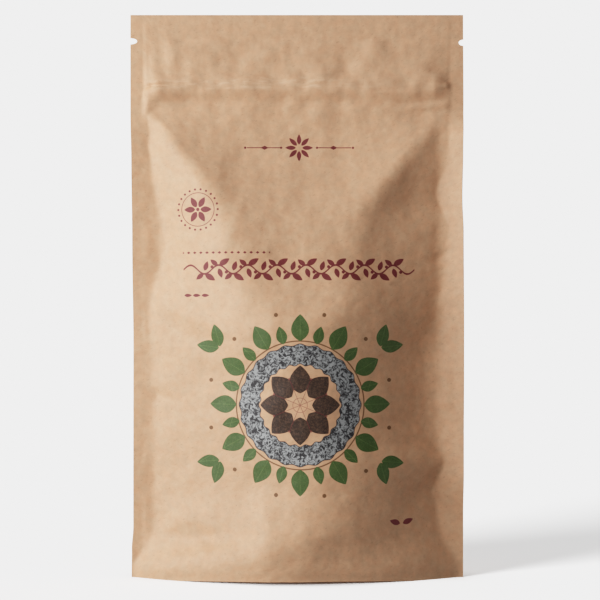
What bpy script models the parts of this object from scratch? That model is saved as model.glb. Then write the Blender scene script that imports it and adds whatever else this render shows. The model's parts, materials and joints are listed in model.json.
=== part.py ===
"""A filled stand-up pouch of kraft paper laminate: two panels, a bottom gusset, a zip and the contents.

The origin is on the floor under the pouch's middle, +X runs across the front as one faces it, the front
faces -Y and +Z is up. All lengths here are in millimetres, and new_object turns them to metres. Each panel
starts as a flat sheet, is pushed out to the shape that the contents give it, and is thickened.
"""

import functools
import math

import bmesh
import bpy
import numpy as np
from mathutils import Matrix, Vector

MM = 0.001

# The flat pouch, a stock size of 160 x 270 mm with a gusset of 2 x 40 mm.
HALF_WIDTH = 80.0
HEIGHT = 270.0
LEAF = 40.0
FILM = 0.2
GAP = 0.8

# The bulge starts at a fold under the zip, as a hollow triangle that leans out until it meets the flanks.
# Its edges are rounded more the lower they are, and its lean changes at each bend (start, easing, change).
FOLD = 224.5
FACET_LEAN = 0.39
FACET_ROUNDING = (1.5, 5.0)
FACET_ROUNDS = 40.0
FACET_BENDS = ((38.0, 14.0, -0.27), (76.0, 12.0, 0.5))
FACET_MIDDLE = 4.0
FACET_HALF_WIDTH = 72.0
FACET_NARROWS = 0.82
FACET_HOLLOW = 0.0026
FACET_HOLLOW_GROWS = 32.0

# Below this height the side seals end and the corners open with the gusset.
CORNER_OPENS = 3.0
CORNER_SHUT = 22.0

# Near a tuck in a side seal the bulge starts further in, and this far from it nothing of that is left.
TUCK_FADES = 28.0
TUCK_POINT = 1.3
CREASE_STARTS = 8.0

# Above this height the panels are sealed together, and the header closes towards it from this far below.
TOP_SEAL = 261.0
TOP_CLOSES = 25.0

# The header's relief over the fold, as (height, depth): the zip's ridge is its deepest place.
HEADER_RELIEF = (
    (FOLD - 18, 0.0),
    (FOLD - 2, 0.3),
    (227, 0.8),
    (229, 0.1),
    (229.6, 0.1),
    (234.8, 2.1),
    (238.8, 2.1),
    (240.4, 1.0),
    (TOP_SEAL, 0.0),
    (HEIGHT, 0.0),
)
HEADER_CROWN = 1.0
CROWN_STARTS = FOLD - 16
SEAL_EDGE = 6.0

# The outline draws in a little where the pouch is full, as (height, inset).
EDGES = {
    "left": ((0, 0.6), (14, 0.7), (24, 1.4), (110, 1.4), (160, 0.9), (200, 0.5), (225, 0), (HEIGHT, 0)),
    "right": ((0, 0.2), (120, 0.2), (165, 0.5), (182, 1.1), (205, 0.6), (228, 0), (HEIGHT, 0.2)),
}

# The side seals swing forward where the filling pulls on them, as (height, slope).
CURLS = {
    "left": ((0, 0), (45, 0), (110, -0.08), (165, 0.06), (210, 0.12), (226, 0), (HEIGHT, 0)),
    "right": ((0, 0), (40, 0.06), (70, 0.30), (100, 0.48), (180, 0.58), (212, 0.46), (226, 0), (HEIGHT, 0)),
}
CURL_STARTS = 66.0
CURL_EASING = 6.0

# The tear notches, one in each side seal.
NOTCH_HEIGHTS = {"left": 257.4, "right": 256.7}
NOTCH_RADIUS = 1.5
NOTCH_REACH = 3.2
NOTCH_CUTTER = 20.0
NOTCH_SIDES = 16

# The zip's strips lie inside its ridge.
ZIP_MIDDLE = 237.0
ZIP_HALF_HEIGHT = 2.2
ZIP_HALF_LENGTH = 66.0
ZIP_SKIN = 1.0
ZIP_FLANGE = 0.3
ZIP_PLAY = 0.35
ZIP_RIB = 0.45
ZIP_JAW = 0.5

# The gusset: where it rides over the floor, and how far it keeps inside the panels.
RIDGE_LOW = 7.0
RIDGE_TOP = LEAF - 2
RIDGE_SHARPNESS = 2.4
LEAF_INSET = 1.2
LEAF_END_DEPTH = 1.5
LEAF_END_STEP = 0.25
LEAST_BOND = 4.0

# The contents: their level, and how far their surface heaps and dips.
FILL_LEVEL = 112.0
FILL_HEAP = 9.0
FILL_LUMP = 2.4
FILL_LUMP_WIDTH = 9.0
FILL_RIPPLE_WIDTH = 5.3
FILL_CLEARANCE = 3.0
FILL_OVER_GUSSET = 3.0
FILL_REACH = 50.0
FILL_LEAST_DEPTH = 0.3

# The grids.
PANEL_ROWS = (
    [0, 5, 11, 18, 25, 32, 37, 42, 47, 55, 65, 77, 89, 100, 110, 120, 132, 142, 150, 160, 168, 174]
    + [179, 184, 189, 195, 203, 213, 224, 227, 229.3, 234.8, 238.8, 240.4, 251, TOP_SEAL, HEIGHT]
)
FLANK_STEPS = 11
FLANK_SPREAD = 1.3
EDGE_GAP = 0.3
GUSSET_SPAN = 24
GUSSET_WALL = 4
GUSSET_SLOPE = 5
FILL_RINGS = 18
FILL_SIDES = 14

# Each material's colour and roughness.
KRAFT = ((0.52, 0.34, 0.20, 1), 0.7)
KRAFT_BACK = ((0.50, 0.33, 0.19, 1), 0.7)
PLASTIC = ((0.80, 0.80, 0.78, 1), 0.4)
FILLING = ((0.10, 0.05, 0.03, 1), 0.9)
SMOOTH_BELOW = math.radians(40)


def smooth_step(low, high, value):
    """0 below low, 1 above high, and a smooth rise between them."""
    t = np.clip((value - low) / (high - low), 0, 1)
    return t * t * (3 - 2 * t)


def smooth_min(a, b, rounding):
    """The lower of two heights, with the edge where they cross rounded off."""
    h = np.maximum(rounding - np.abs(a - b), 0) / rounding
    return np.minimum(a, b) - h * h * rounding / 4


def ramp(distance, easing):
    """A slope of 1 that starts gently: it is reached at a distance of easing."""
    distance = np.maximum(distance, 0)
    return np.where(distance < easing, distance**2 / (2 * easing), distance - easing / 2)


def along(stations, z):
    """The value at height z, running smoothly through (height, value) stations."""
    heights, values = (np.array(row, float) for row in zip(*stations))
    i = np.clip(np.searchsorted(heights, z) - 1, 0, len(heights) - 2)
    return values[i] + (values[i + 1] - values[i]) * smooth_step(heights[i], heights[i + 1], z)


def tuck(z, height, down, up, sharp):
    """1 at a tuck in the seal, falling to 0 at its reach down and up, to a point if it is sharp."""
    d = np.clip(np.where(z < height, (height - z) / down, (z - height) / up), 0, 1)
    return (1 - d) ** TUCK_POINT if sharp else (1 + np.cos(np.pi * d)) / 2


def crease(x, z, start, end, reach, kept):
    """1 along the line from start to end, and 0 at reach beside it. kept is how much is left at each end."""
    dx, dz = end[0] - start[0], end[1] - start[1]
    t = np.clip(((x - start[0]) * dx + (z - start[1]) * dz) / (dx * dx + dz * dz), 0, 1)
    away = np.hypot(x - start[0] - t * dx, z - start[1] - t * dz)
    side = np.maximum(1 - away / reach, 0)
    ends = (1 - (1 - kept[0]) * (1 - t) ** 2) * (1 - (1 - kept[1]) * t**2)
    return side * side * (3 - 2 * side) * ends


def edge(side, z):
    """How far out the pouch's outline is on one side."""
    return HALF_WIDTH - along(EDGES[side], z)


def curl(x, z):
    """How far the middle plane swings forward, which it does only near the pouch's sides."""
    swing = np.where(x < 0, along(CURLS["left"], z), along(CURLS["right"], z))
    return swing * ramp(np.abs(x) - CURL_STARTS, CURL_EASING)


class Panel:
    """How one of the two big panels bulges, all as depths out of the pouch's middle plane."""

    def __init__(self, slopes, easing, rounding, insets, tucks, creases):
        self.slopes = slopes
        self.easing = easing
        self.rounding = rounding
        self.insets = insets
        self.tucks = tucks
        self.creases = creases

    def inset(self, side, z):
        """How far the bulge would start in from the pouch's edge if the seal had no tucks."""
        return along(self.insets[side], z) * smooth_step(CORNER_OPENS, CORNER_SHUT, z)

    def tucked(self, side, z):
        """How much further in the tucks in the seal hold the bulge."""
        value = sum(depth * tuck(z, *place) for depth, *place in self.tucks[side])
        return value * smooth_step(CORNER_OPENS, CORNER_SHUT, z)

    def limits(self, z):
        """The bulge's left and right limits at height z."""
        starts = []
        for side in ("left", "right"):
            tucked = self.tucked(side, z)
            starts.append(self.inset(side, z) + tucked * (1 - smooth_step(0, TUCK_FADES, tucked)))
        return starts[0] - HALF_WIDTH, HALF_WIDTH - starts[1]

    def rise(self, side, x, z):
        """The depth that the panel gains from one side seal inwards."""
        away = (HALF_WIDTH + x if side == "left" else HALF_WIDTH - x) - self.inset(side, z)
        away = away - self.tucked(side, z) * (1 - smooth_step(0, TUCK_FADES, away))
        return along(self.slopes[side], z) * ramp(away, along(self.easing[side], z))

    def facet(self, x, z):
        """The depth of the hollow triangle that hangs from the fold under the zip."""
        down = FOLD - z
        half_width = np.maximum(FACET_HALF_WIDTH - FACET_NARROWS * down, 0)
        hollow = FACET_HOLLOW * np.clip(down / FACET_HOLLOW_GROWS, 0, 1)
        lean = FACET_LEAN * down
        for start, easing, bend in FACET_BENDS:
            lean = lean + bend * ramp(down - start, easing)
        return lean + hollow * ((x - FACET_MIDDLE) ** 2 - half_width**2)

    def bulge(self, x, z):
        """The depth of the filled part, under the zip."""
        left, right = self.rise("left", x, z), self.rise("right", x, z)
        belly = smooth_min(left, right, along(self.rounding, z))
        rounding = np.interp(FOLD - z, (0, FACET_ROUNDS), FACET_ROUNDING)
        depth = smooth_min(belly, self.facet(x, z), rounding)
        free = smooth_step(0, CREASE_STARTS, np.minimum(np.minimum(left, right), depth))
        for height, *place in self.creases:
            depth = depth + height * crease(x, z, *place) * free
        return np.maximum(depth, 0)

    def header(self, x, z):
        """The depth of the header and the zip's ridge, inside the side seals."""
        low, high = self.limits(z)
        inside = smooth_step(0, SEAL_EDGE, np.minimum(x - low, high - x))
        crown = HEADER_CROWN * (1 - (x / HALF_WIDTH) ** 2) * smooth_step(CROWN_STARTS, FOLD, z)
        crown = crown * smooth_step(TOP_SEAL, TOP_SEAL - TOP_CLOSES, z)
        return inside * (along(HEADER_RELIEF, z) + crown)

    def depth(self, x, z):
        """The depth of the finished panel."""
        return np.maximum(self.bulge(x, z), self.header(x, z))


FRONT = Panel(
    slopes={
        "left": ((0, 0.78), (24, 0.52), (45, 0.45), (90, 0.50), (125, 0.60), (HEIGHT, 0.60)),
        "right": ((0, 0.78), (24, 0.71), (90, 0.80), (125, 0.72), (150, 0.44), (175, 0.40), (HEIGHT, 0.50)),
    },
    easing={
        "left": ((0, 3), (40, 4), (130, 4), (165, 8), (195, 4), (212, 1.5), (HEIGHT, 1.5)),
        "right": ((0, 5), (35, 6), (42, 2), (60, 12), (150, 10), (172, 3), (184, 1), (200, 2), (HEIGHT, 2)),
    },
    rounding=((0, 131), (24, 40), (45, 34), (90, 44), (130, 54), (155, 32), (HEIGHT, 30)),
    insets={
        "left": ((0, 9), (95, 9.2), (125, 7.6), (190, 8), (212, 7), (HEIGHT, 6)),
        "right": ((0, 9), (40, 11), (70, 12), (100, 13), (125, 7), (150, 6.5), (215, 7.5), (HEIGHT, 6)),
    },
    tucks={
        "left": ((6, 161, 34, 40, False), (1.4, 214, 8, 8, False)),
        "right": ((7.5, 184, 16, 17, True), (3, 117, 20, 12, False), (5, 42, 10, 15, True)),
    },
    creases=(
        (-2.2, (67, 184), (28, 158), 15, (1, 0)),
        (-2.2, (73, 212), (40, 172), 11, (0.4, 0.2)),
        (-2.2, (-70, 124), (-28, 108), 9, (0.8, 0)),
        (1.5, (-15, 16), (-17, 50), 11, (0.8, 0)),
        (1.8, (-4, 0), (-13, 26), 26, (1, 0)),
        (1.2, (-64, 32), (-30, 22), 10, (0.6, 0.2)),
        (-1.4, (66, 44), (42, 34), 12, (1, 0)),
        (1.4, (72, 58), (58, 44), 8, (0.8, 0.2)),
    ),
)

BACK = Panel(
    slopes={
        "left": ((0, 0.78), (22, 0.66), (60, 0.64), (170, 0.60), (HEIGHT, 0.55)),
        "right": ((0, 0.78), (22, 0.62), (60, 0.58), (170, 0.55), (HEIGHT, 0.50)),
    },
    easing={"left": ((0, 5), (HEIGHT, 5)), "right": ((0, 5), (HEIGHT, 5))},
    rounding=((0, 125), (24, 70), (60, 44), (HEIGHT, 42)),
    insets={
        "left": ((0, 11), (90, 10), (130, 7), (HEIGHT, 6)),
        "right": ((0, 10), (95, 9), (125, 7), (HEIGHT, 6)),
    },
    tucks={
        "left": ((6, 172, 16, 16, True), (4, 70, 24, 24, False)),
        "right": ((5, 190, 18, 18, False), (6, 120, 20, 20, True)),
    },
    creases=(
        (-2.6, (-68, 172), (-26, 146), 14, (1, 0)),
        (-2.0, (66, 120), (30, 96), 13, (1, 0)),
    ),
)


def new_object(name, bm, finish):
    """A scene object in metres with its own material, from a bmesh that is then freed."""
    bmesh.ops.scale(bm, verts=bm.verts, vec=(MM, MM, MM))
    bm.normal_update()
    bmesh.ops.recalc_face_normals(bm, faces=bm.faces)
    mesh = bpy.data.meshes.new(name)
    bm.to_mesh(mesh)
    bm.free()
    obj = bpy.data.objects.new(name, mesh)
    bpy.context.scene.collection.objects.link(obj)
    material = bpy.data.materials.new(name)
    material.use_nodes = True
    shader = material.node_tree.nodes["Principled BSDF"]
    shader.inputs["Base Color"].default_value, shader.inputs["Roughness"].default_value = finish
    mesh.materials.append(material)
    mesh.shade_smooth()
    mesh.set_sharp_from_angle(angle=SMOOTH_BELOW)
    return obj


def sheet(columns, rows, place):
    """A grid of triangles, each corner put where place(column, row) says."""
    bm = bmesh.new()
    bmesh.ops.create_grid(bm, x_segments=columns - 1, y_segments=rows - 1, size=1)
    for v in bm.verts:
        column = round((v.co.x + 1) / 2 * (columns - 1))
        row = round((v.co.y + 1) / 2 * (rows - 1))
        v.co = place(column, row)
    bmesh.ops.triangulate(bm, faces=bm.faces)
    return bm


def thicken(bm, outward, thickness):
    """Gives a sheet its thickness on the side that the outward direction marks."""
    bm.normal_update()
    faced = sum(f.normal.dot(Vector(outward)) * f.calc_area() for f in bm.faces)
    if faced < 0:
        bmesh.ops.reverse_faces(bm, faces=bm.faces)
    bm.normal_update()
    bmesh.ops.solidify(bm, geom=bm.faces[:], thickness=-thickness)


def level_rim(bm, z):
    """Brings the corners near height z exactly onto it, so that the rim there is flat."""
    for v in bm.verts:
        if abs(v.co.z - z) < 2 * FILM:
            v.co.z = z


def panel_columns(panel, z):
    """The x of each column of a panel's grid at height z, from its left edge to its right one."""
    left, right = -edge("left", z), edge("right", z)
    low, high = panel.limits(z)
    low, high = max(low, left + EDGE_GAP), min(high, right - EDGE_GAP)
    t = np.linspace(-1, 1, 2 * FLANK_STEPS + 1)
    spread = FLANK_SPREAD * t + (1 - FLANK_SPREAD) * t**3
    return [left, *((low + high + (high - low) * spread) / 2), right]


def build_panel(name, panel, side, finish):
    """One big panel. side is -1 for the front and 1 for the back."""
    columns = [panel_columns(panel, z) for z in PANEL_ROWS]

    def place(column, row):
        x, z = columns[row][column], PANEL_ROWS[row]
        return x, side * (GAP / 2 + panel.depth(x, z)) - curl(x, z), z

    bm = sheet(len(columns[0]), len(PANEL_ROWS), place)
    thicken(bm, (0, side, 0), FILM)
    level_rim(bm, 0)
    level_rim(bm, HEIGHT)
    return new_object(name, bm, finish)


def cut_notches(panels):
    """Punches the round-nosed tear notches through both panels' edges."""
    outer = HALF_WIDTH + NOTCH_RADIUS
    tip = HALF_WIDTH - NOTCH_REACH + NOTCH_RADIUS
    for name, side in (("left", -1), ("right", 1)):
        bm = bmesh.new()
        bmesh.ops.create_cone(
            bm,
            cap_ends=True,
            segments=NOTCH_SIDES,
            radius1=NOTCH_RADIUS,
            radius2=NOTCH_RADIUS,
            depth=NOTCH_CUTTER,
        )
        bmesh.ops.rotate(bm, verts=bm.verts, matrix=Matrix.Rotation(math.pi / 2, 3, "X"))
        for v in bm.verts:
            stretched = max(v.co.x, 0) * (outer - tip) / NOTCH_RADIUS
            v.co.x = side * (stretched + min(v.co.x, 0) + tip)
            v.co.z += NOTCH_HEIGHTS[name]
        cutter = new_object("notch_cutter_" + name, bm, PLASTIC)
        cutter.hide_render = True
        cutter.display_type = "WIRE"
        for panel in panels:
            cut = panel.modifiers.new("notch", "BOOLEAN")
            cut.operation = "DIFFERENCE"
            cut.object = cutter


def gusset_ridge(share):
    """How high the gusset's ridge is, from 0 at the middle to 1 at its ends."""
    return RIDGE_LOW + (RIDGE_TOP - RIDGE_LOW) * share**RIDGE_SHARPNESS


@functools.cache
def gusset_ends(z):
    """Where both panels are far enough apart, at height z, for the gusset's folded end."""
    found = []
    for direction in (-1, 1):
        x = direction * np.arange(HALF_WIDTH, 0, -LEAF_END_STEP)
        room = np.minimum(FRONT.depth(x, z), BACK.depth(x, z))
        found.append(x[np.argmax(room >= LEAF_END_DEPTH)])
    return found


def gusset_x(s, z):
    """The x of the gusset's cross-section s at height z."""
    left, right = gusset_ends(z)
    return left + (right - left) * (s + 1) / 2


def keep_inside(point, clearance):
    """The point, moved along Y if need be, so that it clears both panels' inner faces."""
    x, y, z = point
    front, back = FRONT.depth(x, z) - clearance, BACK.depth(x, z) - clearance
    return x, min(max(y, -front), back), z


def mix(a, b, share):
    """The point that share of the way from a to b."""
    return tuple(p + (q - p) * share for p, q in zip(a, b))


def gusset_section(s):
    """The corners of one cross-section, front to back. s is -1 at the left end and 1 at the right."""
    ridge = gusset_ridge(abs(s))
    walls = []
    for panel, side in ((FRONT, -1), (BACK, 1)):
        spread = panel.depth(gusset_x(s, 0), 0) - LEAF_INSET
        bond = (LEAF**2 - ridge**2 - spread**2) / (2 * (LEAF - ridge))
        bond = min(max(bond, LEAST_BOND), ridge)
        wall = []
        for z in np.linspace(0, bond, GUSSET_WALL + 1):
            x = gusset_x(s, z)
            wall.append((x, side * (panel.depth(x, z) - LEAF_INSET), z))
        walls.append(wall)
    top = (gusset_x(s, ridge), 0, ridge)
    front, back = walls
    climb = [mix(front[-1], top, i / GUSSET_SLOPE) for i in range(1, GUSSET_SLOPE)]
    fall = [mix(top, back[-1], i / GUSSET_SLOPE) for i in range(1, GUSSET_SLOPE)]
    arch = [keep_inside(corner, LEAF_INSET) for corner in (*climb, top, *fall)]
    return [*front, *arch, *reversed(back)]


def build_gusset():
    """The bottom gusset: a sheet up both panels' inner faces, with an arch between them over the floor."""
    sections = [gusset_section(s) for s in np.linspace(-1, 1, GUSSET_SPAN + 1)]
    bm = sheet(GUSSET_SPAN + 1, len(sections[0]), lambda column, row: sections[column][row])
    thicken(bm, (0, 0, 1), FILM)
    level_rim(bm, 0)
    return new_object("bottom_gusset", bm, KRAFT)


def build_zip_strip(name, profile):
    """One of the zip's two strips: its cross-section, as (y, z) corners, pulled out along X."""
    bm = bmesh.new()
    corners = [bm.verts.new((-ZIP_HALF_LENGTH, y, ZIP_MIDDLE + z)) for y, z in profile]
    end = bm.faces.new(corners)
    pulled = bmesh.ops.extrude_face_region(bm, geom=[end])
    moved = [v for v in pulled["geom"] if isinstance(v, bmesh.types.BMVert)]
    bmesh.ops.translate(bm, verts=moved, vec=(2 * ZIP_HALF_LENGTH, 0, 0))
    return new_object(name, bm, PLASTIC)


def build_zip():
    """The press-to-close zip: a rib on the front panel's strip that sits in a groove on the back panel's."""
    skin, plate, flange = ZIP_SKIN, ZIP_SKIN - ZIP_FLANGE, ZIP_HALF_HEIGHT
    rib = ZIP_RIB
    jaw_in = rib + ZIP_PLAY
    jaw_out = jaw_in + ZIP_JAW
    nose = plate - ZIP_PLAY
    jaw = -nose
    rib_profile = [
        (-skin, -flange),
        (-plate, -flange),
        (-plate, -rib),
        (nose, -rib),
        (nose, rib),
        (-plate, rib),
        (-plate, flange),
        (-skin, flange),
    ]
    groove_profile = [
        (skin, -flange),
        (plate, -flange),
        (plate, -jaw_out),
        (jaw, -jaw_out),
        (jaw, -jaw_in),
        (plate, -jaw_in),
        (plate, jaw_in),
        (jaw, jaw_in),
        (jaw, jaw_out),
        (plate, jaw_out),
        (plate, flange),
        (skin, flange),
    ]
    build_zip_strip("zip_rib_strip", rib_profile)
    build_zip_strip("zip_groove_strip", groove_profile)


def fill_height(x, share):
    """The height in the contents at x, from 0 at the gusset to 1 at their surface."""
    lump = math.sin(x / FILL_LUMP_WIDTH) * math.cos(x / FILL_RIPPLE_WIDTH + 1)
    top = FILL_LEVEL + FILL_HEAP * (1 - (x / HALF_WIDTH) ** 2) + FILL_LUMP * lump
    floor = gusset_ridge(abs(x) / gusset_ends(RIDGE_TOP)[1]) + FILL_OVER_GUSSET
    return floor + (top - floor) * share


def fill_loop(x):
    """The corners around one cross-section of the contents, up the front and down the back."""
    loop = []
    shares = np.linspace(0, 1, FILL_SIDES + 1)
    for panel, side, order in ((FRONT, -1, shares), (BACK, 1, shares[::-1])):
        for share in order:
            z = fill_height(x, share)
            loop.append((x, side * max(panel.depth(x, z) - FILL_CLEARANCE, FILL_LEAST_DEPTH), z))
    return loop


def build_contents():
    """The loose filling as one heap, which fills the lower part between the panels, over the gusset."""
    bm = bmesh.new()
    loops = [
        [bm.verts.new(corner) for corner in fill_loop(x)]
        for x in np.linspace(-FILL_REACH, FILL_REACH, FILL_RINGS + 1)
    ]
    for a, b in zip(loops, loops[1:]):
        for i in range(len(a)):
            j = (i + 1) % len(a)
            bm.faces.new((a[i], a[j], b[j], b[i]))
    bm.faces.new(loops[0])
    bm.faces.new(loops[-1])
    bmesh.ops.triangulate(bm, faces=bm.faces)
    return new_object("contents", bm, FILLING)


def main():
    for obj in list(bpy.data.objects):
        bpy.data.objects.remove(obj)
    front = build_panel("front_panel", FRONT, -1, KRAFT)
    back = build_panel("back_panel", BACK, 1, KRAFT_BACK)
    cut_notches((front, back))
    build_gusset()
    build_zip()
    build_contents()


main()
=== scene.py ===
"""A filled stand-up pouch of kraft paper laminate, modelled around its packed frame.

The pouch stands on the floor and faces -Y, with +X across its front and +Z up. Its two panels
are fine grids, moved to the shape that the filling gives them and thickened. Lengths in the
shape's tables and functions, and in the print, are in millimetres.
"""

import json
import math
from dataclasses import dataclass
from functools import reduce
from operator import or_

import bpy
import numpy as np
from bpy.props import FloatProperty, FloatVectorProperty, PointerProperty
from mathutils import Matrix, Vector

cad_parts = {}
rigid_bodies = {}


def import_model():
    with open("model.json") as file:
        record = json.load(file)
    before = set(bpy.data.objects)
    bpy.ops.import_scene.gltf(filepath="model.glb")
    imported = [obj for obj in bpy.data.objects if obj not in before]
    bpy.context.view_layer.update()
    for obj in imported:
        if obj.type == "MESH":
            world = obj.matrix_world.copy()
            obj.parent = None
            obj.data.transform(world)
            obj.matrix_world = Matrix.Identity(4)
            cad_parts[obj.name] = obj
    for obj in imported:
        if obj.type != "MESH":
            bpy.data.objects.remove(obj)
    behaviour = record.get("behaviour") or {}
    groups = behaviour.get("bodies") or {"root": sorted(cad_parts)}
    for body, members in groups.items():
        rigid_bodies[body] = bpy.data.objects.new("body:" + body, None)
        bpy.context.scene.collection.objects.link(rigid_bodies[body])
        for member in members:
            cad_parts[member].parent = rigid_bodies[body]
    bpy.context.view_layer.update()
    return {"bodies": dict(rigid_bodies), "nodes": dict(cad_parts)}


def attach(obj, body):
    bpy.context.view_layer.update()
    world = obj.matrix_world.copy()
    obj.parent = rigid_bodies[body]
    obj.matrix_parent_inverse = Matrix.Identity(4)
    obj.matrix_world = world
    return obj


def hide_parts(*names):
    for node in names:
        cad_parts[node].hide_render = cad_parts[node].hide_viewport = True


bl_info = {
    "name": "Kraft Stand-Up Pouch",
    "version": (1, 0, 0),
    "blender": (4, 5, 0),
    "location": "3D View > Sidebar > Pouch",
    "description": "Models a filled kraft paper pouch around its packed frame",
    "category": "Add Mesh",
}

MM = 0.001
TAU = 2 * math.pi

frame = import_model()
CAD_BODY = next(iter(frame["bodies"]))


# The pouch's shape. Depths are out of its middle plane, and heights are over the floor.

# The flat pouch, a stock size of 160 x 270 mm with a gusset of 2 x 40 mm.
HALF_WIDTH = 80
HEIGHT = 270
LEAF = 40
FILM = 0.2
SEAL_GAP = 0.02

# From a fold under the zip hangs a hollow triangle that leans out until it meets the flanks.
# Its lean changes at the bends, as (distance under the fold, easing, change).
FOLD = 224.5
FACET_LEAN = 0.39
FACET_BENDS = ((38, 14, -0.27), (76, 12, 0.5))

# The rounding where it meets the flanks grows downwards, over FACET_ROUNDS.
FACET_ROUNDING = (1.5, 5)
FACET_ROUNDS = 40

# The hollow lies about this x and narrows downwards.
FACET_MIDDLE = 4
FACET_HALF_WIDTH = 72
FACET_NARROWS = 0.82
FACET_HOLLOW = 0.0026
FACET_HOLLOW_GROWS = 32

# Between these heights the side seals end and the corners open with the gusset.
CORNER_OPENS = 3
CORNER_SHUT = 22

# A tuck in a side seal holds the bulge further in, but not this far inside. The power makes
# a sharp one's point.
TUCK_FADES = 28
TUCK_POINT = 1.3

# A crease grows to its full height where the bulge is this deep.
CREASE_STARTS = 8

# The panels are sealed above this height, and the header closes from this far below it.
TOP_SEAL = 261
TOP_CLOSES = 25

# The header's relief over the fold, as (height, depth). The zip's ridge is deepest.
HEADER_RELIEF = (
    (FOLD - 18, 0), (FOLD - 2, 0.3), (227.4, 0.1), (234.4, 2.4), (238, 2.2), (242, 1.3),
    (248, 0.5), (TOP_SEAL, 0), (HEIGHT, 0),
)
HEADER_CROWN = 0.4
CROWN_STARTS = FOLD - 16

# A share of the relief rises at once at a side seal's pressed edge, as (height, share), and
# the rest over a longer way, as (height, distance).
SEAL_EDGE = 1.2
SEAL_STEPS = {
    "left": ((FOLD, 0.35), (HEIGHT, 0.35)),
    "right": (
        (FOLD, 0.05), (234.4, 0.05), (235.4, 0.36), (236.6, 0.36), (237.6, 0.05), (HEIGHT, 0.05),
    ),
}
HEADER_EASES = ((FOLD, 10), (233, 8), (241, 8), (246, 24), (HEIGHT, 24))

# The sheet stands this far out inside the pressed seals, from under the fold to the top edge.
SEAL_RELIEF = 0.18
SEAL_RELIEF_STARTS = FOLD - 10
TOP_EDGE = 3

# The outline draws in where the pouch is full, as (height, inset).
EDGES = {
    "left": (
        (0, 0.6), (14, 0.7), (24, 1.4), (110, 1.4), (160, 0.9), (200, 0.5), (225, 0), (HEIGHT, 0),
    ),
    "right": ((0, 0.2), (120, 0.2), (165, 0.5), (182, 1.1), (205, 0.6), (228, 0), (HEIGHT, 0.2)),
}

# The side seals swing forward where the filling pulls on them, as (height, slope).
CURLS = {
    "left": ((0, 0), (45, 0), (110, -0.08), (165, 0.06), (210, 0.12), (226, 0), (HEIGHT, 0)),
    "right": (
        (0, 0), (30, 0.06), (50, 0.36), (70, 0.36), (100, 0.48), (180, 0.58), (212, 0.46),
        (226, 0), (HEIGHT, 0),
    ),
}
CURL_STARTS = 66
CURL_EASING = 4

# The tear notches, one in each side seal.
NOTCH_HEIGHTS = {"left": 257.4, "right": 256.7}
NOTCH_HALF_HEIGHT = 1.5
NOTCH_REACHES = {"left": 3.2, "right": 2.2}
NOTCH_ROUNDNESS = 2.2

# The gusset: the heights of its arch, and how far it keeps inside the panels.
RIDGE_LOW = 7
RIDGE_TOP = LEAF - 2
RIDGE_SHARPNESS = 2.4
LEAF_INSET = 0.3
LEAF_END_DEPTH = 0.6
LEAST_BOND = 4

# The dents that handling leaves, as (width, depth in the header, depth under it), and the
# heights between which their depth changes.
DENTS = ((36, 0.55, 0.9), (17, 0.95, 0.55), (8, 0.5, 0.26))
DENTS_CHANGE = (FOLD + 2, FOLD - 12)

# They fade towards the rim, the floor and the top seal, over a longer way in the header's sides.
DENTS_RIM = HALF_WIDTH - 5.5
DENTS_EASE = 2
DENTS_HEADER_EASES = (5, 14)
DENTS_EASE_GROWS = 4
DENTS_FLOOR = 12
DENTS_TOP = 5

# The zip, and the room inside the panels for its strips, which eases off around them.
ZIP_MIDDLE = 237
ZIP_HALF_HEIGHT = 2.4
ZIP_HALF_LENGTH = 67
ZIP_ROOM = 1.15
ROOM_EASE_UP = 1
ROOM_EASE_ALONG = 2

# The dimples along the zip, which are wider than high.
DIMPLE_WIDTH = 8
DIMPLE_FLATNESS = 0.45
DIMPLE_DEPTH = 0.7
DIMPLE_REACH = 6

# The zip's ridge is uneven along its length, and higher to the right.
BEAD_WIDTH = 26
BEAD_FLATNESS = 0.3
BEAD_VARIES = 0.35
BEAD_GROWS = 0.22

# The noise repeats after this many cells, and each use of it adds to the seed.
NOISE_CELLS = 64
NOISE_GAIN = 1.6
EDGES_SEED, DENTS_SEED, DIMPLE_SEED, BEAD_SEED = 2, 9, 29, 50

# A crumple is made of soft dents, and of faint edges that lie further apart.
CRUMPLE_DENTS, CRUMPLE_EDGES, CRUMPLE_SPREAD = 0.8, 0.35, 1.5


def ease(low, high, value):
    """0 below low, 1 above high, and a smooth rise between them."""
    t = np.clip((value - low) / (high - low), 0, 1)
    return t * t * (3 - 2 * t)


def smooth_min(a, b, rounding):
    """The lower of two heights, with the edge where they cross rounded off."""
    h = np.maximum(rounding - np.abs(a - b), 0) / rounding
    return np.minimum(a, b) - h * h * rounding / 4


def ramp(distance, easing):
    """A slope of 1 that starts gently: it is reached at a distance of easing."""
    distance = np.maximum(distance, 0)
    return np.where(distance < easing, distance**2 / (2 * easing), distance - easing / 2)


def along(stations, z):
    """The value at height z, running smoothly through (height, value) stations."""
    heights, values = (np.array(row, float) for row in zip(*stations))
    i = np.clip(np.searchsorted(heights, z) - 1, 0, len(heights) - 2)
    return values[i] + (values[i + 1] - values[i]) * ease(heights[i], heights[i + 1], z)


def tuck(z, height, down, up, sharp):
    """1 at a tuck, falling to 0 at its reach down and up. A sharp one comes to a point."""
    d = np.clip(np.where(z < height, (height - z) / down, (z - height) / up), 0, 1)
    return (1 - d) ** TUCK_POINT if sharp else (1 + np.cos(np.pi * d)) / 2


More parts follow.
